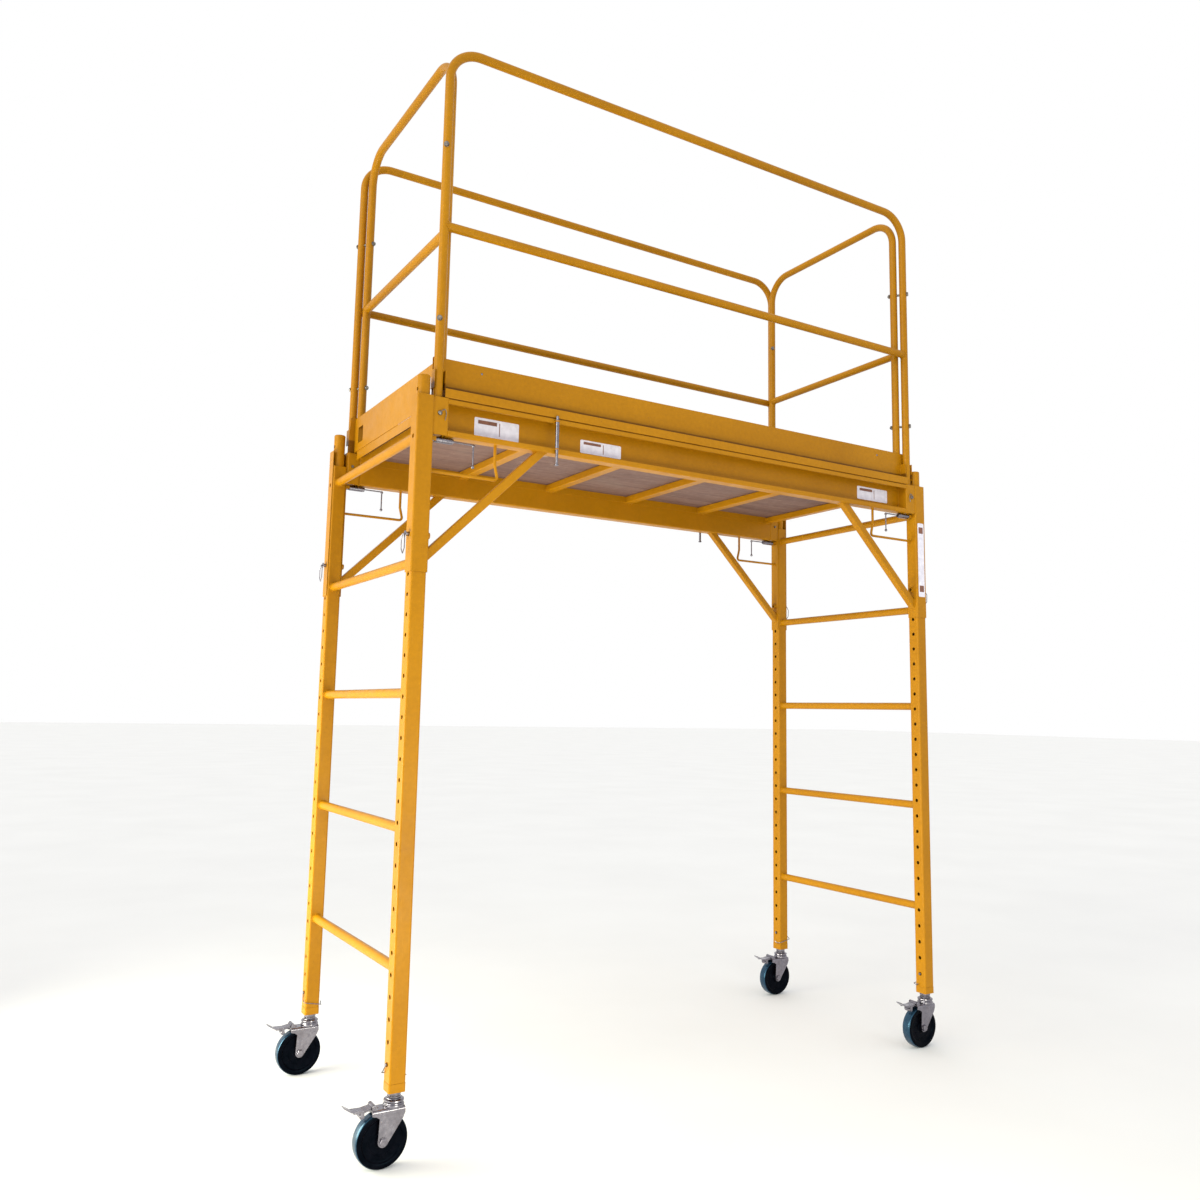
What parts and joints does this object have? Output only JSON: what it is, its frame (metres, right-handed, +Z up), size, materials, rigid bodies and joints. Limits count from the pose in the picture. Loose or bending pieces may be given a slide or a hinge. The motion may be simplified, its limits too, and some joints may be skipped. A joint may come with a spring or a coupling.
{
  "type": "frame scaffold section",
  "caption": "Rolling frame scaffold: ladder end frames, height-adjusting plywood platform on pinned sleeves, guard rails, toe boards and braked swivel casters.",
  "frame": {"origin": "centre of the bounding box on the floor", "axes": "+Z up, X along the platform between the two end frames, Y across it, the brake pedals pointing to -X"},
  "size_m": [1.9821, 0.78, 2.8556],
  "materials": {
    "amber_paint": "amber yellow powder coat, semi-gloss",
    "zinc": "bright zinc plating",
    "dark_steel": "dull dark steel",
    "plywood": "weathered brown plywood",
    "black_rubber": "smooth hard black rubber"
  },
  "bodies": {
    "left_frame": {"left_end_frame": "amber_paint", "coupling_stub_left_near": "amber_paint", "coupling_stub_left_far": "amber_paint", "caster_stem_left_near": "zinc", "caster_stem_left_far": "zinc", "caster_pin_left_near": "zinc", "caster_pin_left_far": "zinc"},
    "right_frame": {"right_end_frame": "amber_paint", "coupling_stub_right_near": "amber_paint", "coupling_stub_right_far": "amber_paint", "caster_stem_right_near": "zinc", "caster_stem_right_far": "zinc", "caster_pin_right_near": "zinc", "caster_pin_right_far": "zinc"},
    "platform": {"side_frame_near": "amber_paint", "side_frame_far": "amber_paint", "deck_tray": "amber_paint", "deck_panel": "plywood", "toe_board_near": "amber_paint", "toe_board_far": "amber_paint", "toe_board_left": "amber_paint", "toe_board_right": "amber_paint", "guard_rail_near": "amber_paint", "guard_rail_far": "amber_paint", "guard_rail_left": "amber_paint", "guard_rail_right": "amber_paint", "post_pin_left_near": "dark_steel", "post_pin_left_far": "dark_steel", "post_pin_right_near": "dark_steel", "post_pin_right_far": "dark_steel", "rail_bolt_left_near": "dark_steel", "rail_bolt_left_far": "dark_steel", "rail_bolt_right_near": "dark_steel", "rail_bolt_right_far": "dark_steel"},
    "caster_left_near": {"caster_fork_left_near": "zinc", "caster_axle_left_near": "zinc"},
    "wheel_left_near": {"caster_wheel_left_near": "black_rubber"},
    "pedal_left_near": {"caster_pedal_left_near": "zinc"},
    "plunger_left_near": {"lock_plunger_left_near": "zinc"},
    "pin_left_near": {"height_pin_left_near": "zinc"},
    "caster_left_far": {"caster_fork_left_far": "zinc", "caster_axle_left_far": "zinc"},
    "wheel_left_far": {"caster_wheel_left_far": "black_rubber"},
    "pedal_left_far": {"caster_pedal_left_far": "zinc"},
    "plunger_left_far": {"lock_plunger_left_far": "zinc"},
    "pin_left_far": {"height_pin_left_far": "zinc"},
    "caster_right_near": {"caster_fork_right_near": "zinc", "caster_axle_right_near": "zinc"},
    "wheel_right_near": {"caster_wheel_right_near": "black_rubber"},
    "pedal_right_near": {"caster_pedal_right_near": "zinc"},
    "plunger_right_near": {"lock_plunger_right_near": "zinc"},
    "pin_right_near": {"height_pin_right_near": "zinc"},
    "caster_right_far": {"caster_fork_right_far": "zinc", "caster_axle_right_far": "zinc"},
    "wheel_right_far": {"caster_wheel_right_far": "black_rubber"},
    "pedal_right_far": {"caster_pedal_right_far": "zinc"},
    "plunger_right_far": {"lock_plunger_right_far": "zinc"},
    "pin_right_far": {"height_pin_right_far": "zinc"},
    "deck_lock_near": {"deck_lock_near": "zinc"},
    "deck_lock_far": {"deck_lock_far": "zinc"}
  },
  "joints": [
    {"name": "platform_slide", "type": "slide", "parent": "left_frame", "child": "platform", "axis": [0, 0, 1], "range_m": [-1.1176, 0]},
    {"name": "right_frame_slide", "type": "slide", "parent": "platform", "child": "right_frame", "axis": [0, 0, 1], "range_m": [0, 1.1176]},
    {"name": "swivel_left_near", "type": "hinge", "parent": "left_frame", "child": "caster_left_near", "pos_m": [-0.8681, -0.355, 0.14], "axis": [0, 0, 1], "continuous": true},
    {"name": "wheel_spin_left_near", "type": "hinge", "parent": "caster_left_near", "child": "wheel_left_near", "pos_m": [-0.8981, -0.355, 0.0635], "axis": [0, 1, 0], "continuous": true},
    {"name": "brake_pedal_left_near", "type": "hinge", "parent": "caster_left_near", "child": "pedal_left_near", "pos_m": [-0.9201, -0.355, 0.1405], "axis": [0, -1, 0], "range_deg": [0, 11]},
    {"name": "spring_pin_left_near", "type": "slide", "parent": "platform", "child": "plunger_left_near", "axis": [1, 0, 0], "range_m": [0, 0.022], "stiffness_N_per_m": 400, "springref_m": -0.01},
    {"name": "height_pin_pull_left_near", "type": "slide", "parent": "platform", "child": "pin_left_near", "axis": [-1, 0, 0], "range_m": [0, 0.03]},
    {"name": "swivel_left_far", "type": "hinge", "parent": "left_frame", "child": "caster_left_far", "pos_m": [-0.8681, 0.355, 0.14], "axis": [0, 0, 1], "continuous": true},
    {"name": "wheel_spin_left_far", "type": "hinge", "parent": "caster_left_far", "child": "wheel_left_far", "pos_m": [-0.8981, 0.355, 0.0635], "axis": [0, 1, 0], "continuous": true},
    {"name": "brake_pedal_left_far", "type": "hinge", "parent": "caster_left_far", "child": "pedal_left_far", "pos_m": [-0.9201, 0.355, 0.1405], "axis": [0, -1, 0], "range_deg": [0, 11]},
    {"name": "spring_pin_left_far", "type": "slide", "parent": "platform", "child": "plunger_left_far", "axis": [1, 0, 0], "range_m": [0, 0.022], "stiffness_N_per_m": 400, "springref_m": -0.01},
    {"name": "height_pin_pull_left_far", "type": "slide", "parent": "platform", "child": "pin_left_far", "axis": [-1, 0, 0], "range_m": [0, 0.03]},
    {"name": "swivel_right_near", "type": "hinge", "parent": "right_frame", "child": "caster_right_near", "pos_m": [0.9519, -0.355, 0.14], "axis": [0, 0, 1], "continuous": true},
    {"name": "wheel_spin_right_near", "type": "hinge", "parent": "caster_right_near", "child": "wheel_right_near", "pos_m": [0.9219, -0.355, 0.0635], "axis": [0, 1, 0], "continuous": true},
    {"name": "brake_pedal_right_near", "type": "hinge", "parent": "caster_right_near", "child": "pedal_right_near", "pos_m": [0.8999, -0.355, 0.1405], "axis": [0, -1, 0], "range_deg": [0, 11]},
    {"name": "spring_pin_right_near", "type": "slide", "parent": "platform", "child": "plunger_right_near", "axis": [-1, 0, 0], "range_m": [0, 0.022], "stiffness_N_per_m": 400, "springref_m": -0.01},
    {"name": "height_pin_pull_right_near", "type": "slide", "parent": "platform", "child": "pin_right_near", "axis": [1, 0, 0], "range_m": [0, 0.03]},
    {"name": "swivel_right_far", "type": "hinge", "parent": "right_frame", "child": "caster_right_far", "pos_m": [0.9519, 0.355, 0.14], "axis": [0, 0, 1], "continuous": true},
    {"name": "wheel_spin_right_far", "type": "hinge", "parent": "caster_right_far", "child": "wheel_right_far", "pos_m": [0.9219, 0.355, 0.0635], "axis": [0, 1, 0], "continuous": true},
    {"name": "brake_pedal_right_far", "type": "hinge", "parent": "caster_right_far", "child": "pedal_right_far", "pos_m": [0.8999, 0.355, 0.1405], "axis": [0, -1, 0], "range_deg": [0, 11]},
    {"name": "spring_pin_right_far", "type": "slide", "parent": "platform", "child": "plunger_right_far", "axis": [-1, 0, 0], "range_m": [0, 0.022], "stiffness_N_per_m": 400, "springref_m": -0.01},
    {"name": "height_pin_pull_right_far", "type": "slide", "parent": "platform", "child": "pin_right_far", "axis": [1, 0, 0], "range_m": [0, 0.03]},
    {"name": "deck_lock_push_near", "type": "slide", "parent": "platform", "child": "deck_lock_near", "axis": [0, 0, 1], "range_m": [-0.025, 0], "stiffness_N_per_m": 300, "springref_m": 0.01},
    {"name": "deck_lock_push_far", "type": "slide", "parent": "platform", "child": "deck_lock_far", "axis": [0, 0, 1], "range_m": [-0.025, 0], "stiffness_N_per_m": 300, "springref_m": 0.01}
  ],
  "couplings": [
    {"joint": "right_frame_slide", "follows": "platform_slide", "ratio": -1}
  ]
}
